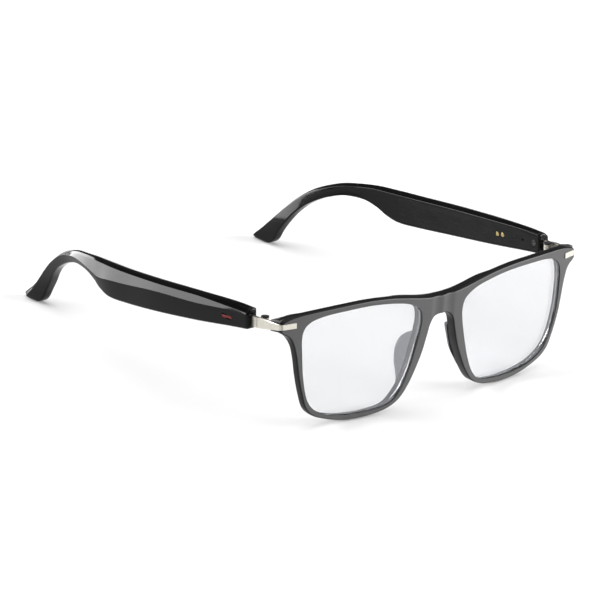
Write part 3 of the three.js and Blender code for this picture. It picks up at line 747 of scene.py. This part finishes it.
def recess(gap):
    def outline(tall, thick, crease, bevel):
        return [(-1, 0.8 - gap), (COVER_THICKNESS + gap, 0.8 - gap),
                (COVER_THICKNESS + gap, tall - 1.6 + gap), (-1, tall - 1.6 + gap)]
    return outline


def plate(tall, thick, crease, bevel):
    corners = [(0, 0.8), (COVER_THICKNESS, 0.8), (COVER_THICKNESS, tall - 1.6), (0, tall - 1.6)]
    return rounded(corners, (0.12, 0.05, 0.05, 0.12), 3)


def lofted(name, start, end, count, outline, sign):
    return loft(name, [section_points(t, outline) for t in np.linspace(start, end, count)], sign)


def build_shell(side, sign):
    rings = []
    first_span = TEMPLE_SECTIONS[1, 0] - TEMPLE_SECTIONS[0, 0]
    for k in range(6):
        turn = 0.5 * math.pi * k / 5
        t = END_ROUNDING * (1 - math.cos(turn)) / first_span
        rings.append(section_points(t, inset_skin(END_ROUNDING * (1 - math.sin(turn)))))
    last = len(TEMPLE_SECTIONS) - 1
    for t in np.linspace(END_ROUNDING / first_span, last, 230)[1:]:
        rings.append(section_points(t, skin))
    for inset in (0.12, 0.3, 0.5):
        tip = section_points(last, inset_skin(inset))
        rings.append([(x, y - 0.1 * inset, z - 0.1 * inset) for x, y, z in tip])
    shell = loft(f"temple_shell_{side}_fine", rings, sign)
    tools = [
        lofted("bay", BAY_START, BAY_END, 24, bay, sign),
        lofted("recess", RECESS_START, RECESS_END, 24, recess(0.01), sign),
        block("slot", *LEAF_SLOT, sign),
        block("port", *SPEAKER_PORT, sign),
    ]
    if side == "right":
        low, high = (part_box("touch_mark_right")[i] for i in (0, 1))
        corners = [
            Vector((x, y, z))
            for x in (low.x, high.x) for y in (low.y, high.y) for z in (low.z, high.z)
        ]
        centre = sum(corners, Vector()) / 8
        verts = [tuple(centre + (corner - centre) * 1.02) for corner in corners]
        faces = [(0, 1, 3, 2), (4, 6, 7, 5), (0, 4, 5, 1), (2, 3, 7, 6), (0, 2, 6, 4), (1, 5, 7, 3)]
        tools.append(new_object("mark_room", verts, faces))
    return combine(shell, "DIFFERENCE", *tools)


def build_cover(side, sign):
    cover = lofted(f"temple_cover_{side}_fine", RECESS_START, RECESS_END, 70, plate, sign)

    def hole(radius, y, z, end=BORE_END):
        return rod("hole", radius, (BORE_START, y, z), (end, y, z), sign)

    holes = [hole(*COVER_SCREW_HEAD, HEAD_BORE_END), *(hole(*place) for place in COVER_HOLES)]
    return combine(cover, "DIFFERENCE", *holes)


for side, sign in SIDES.items():
    temple = f"{side}_temple"
    lens = finish_piece(build_lens(side, sign), f"lens_{side}", "front", 60)
    # Clear plastic hardly shades a table, but the part-mirror that stands for it would.
    lens.visible_shadow = False
    finish_piece(build_pad(side, sign), f"nose_pad_{side}", "front", 60)
    finish_piece(build_shell(side, sign), f"temple_shell_{side}", temple)
    finish_piece(build_cover(side, sign), f"temple_cover_{side}", temple)
    refine(f"front_leaf_{side}", "front", 0.09)
    refine(f"end_screw_{side}", "front", 0.06)
    refine(f"hinge_screw_{side}", "front", 0.12)
    refine(f"temple_leaf_{side}", temple, 0.09)
    refine(f"cover_screw_{side}", temple, 0.08)
    refine(f"status_light_{side}", temple, 0.06)
    refine(f"charge_contact_front_{side}", temple, 0.12)
    refine(f"charge_contact_rear_{side}", temple, 0.12)
refine("touch_mark_right", "right_temple", 0.08)

# ---------- stage ----------

FLOOR_RADIUS = 12
SURROUNDINGS, BACKDROP = (0.11, 0.11, 0.113, 1), (0.95, 0.95, 0.95, 1)

floor_mesh = bpy.data.meshes.new("floor")
bm = bmesh.new()
bmesh.ops.create_circle(bm, cap_ends=True, segments=96, radius=FLOOR_RADIUS)
bm.to_mesh(floor_mesh)
bm.free()
floor = bpy.data.objects.new("floor", floor_mesh)
floor.location.z = -0.2 * MM
bpy.context.scene.collection.objects.link(floor)
slotted(make_material("floor_pale", grey(0.91), grey(0.93), (0.8, 0.9), streaks=(3, 3, 3),
                      grain=300, bump=0.0, specular=0.2), floor)

world = bpy.data.worlds.new("world")
bpy.context.scene.world = world
world.use_nodes = True
nodes, links = world.node_tree.nodes, world.node_tree.links
background = nodes["Background"]
paths = nodes.new("ShaderNodeLightPath")
mix = nodes.new("ShaderNodeMix")
mix.data_type = "RGBA"
mix.inputs["A"].default_value = SURROUNDINGS
mix.inputs["B"].default_value = BACKDROP
links.new(paths.outputs["Is Camera Ray"], mix.inputs["Factor"])
links.new(mix.outputs["Result"], background.inputs["Color"])


def area_light(name, direction, distance, size, power, aim=(0, 0, 0.02)):
    data = bpy.data.lights.new(name, "AREA")
    data.shape = "RECTANGLE"
    data.size, data.size_y = size
    data.energy = power
    light = bpy.data.objects.new(name, data)
    away = Vector(direction).normalized()
    light.location = Vector(aim) + away * distance
    light.rotation_euler = away.to_track_quat("Z", "Y").to_euler()
    light.visible_camera = False
    bpy.context.scene.collection.objects.link(light)


area_light("overhead", (0.1, 0.1, 1), 2.2, (2.6, 2.6), 28)
area_light("key", (0.66, -0.72, 0.20), 1.5, (1.2, 0.56), 38)
area_light("rear_left", (-0.42, 0.86, 0.23), 1.1, (1.8, 0.46), 30)

# ---------- camera ----------

CAMERA_DISTANCE = 5.844
CAMERA_RIGHT, CAMERA_BACK = (0.7314, -0.6776, 0.0772), (-0.6552, -0.6668, 0.3551)
CAMERA_AIM = (0, 63.28, 13.93)

camera_data = bpy.data.cameras.new("camera")
camera_data.sensor_width = 36
camera_data.lens = 1000
camera_data.clip_start, camera_data.clip_end = 0.1, 60
camera = bpy.data.objects.new("camera", camera_data)
bpy.context.scene.collection.objects.link(camera)
bpy.context.scene.camera = camera
right = Vector(CAMERA_RIGHT).normalized()
back = Vector(CAMERA_BACK)
back = (back - right * back.dot(right)).normalized()
up = back.cross(right)
target = Vector(front_frame_point(CAMERA_AIM))
turn = Matrix((right, up, back)).transposed().to_4x4()
camera.matrix_world = Matrix.Translation(target + back * CAMERA_DISTANCE) @ turn
bpy.context.scene.view_settings.view_transform = "Standard"
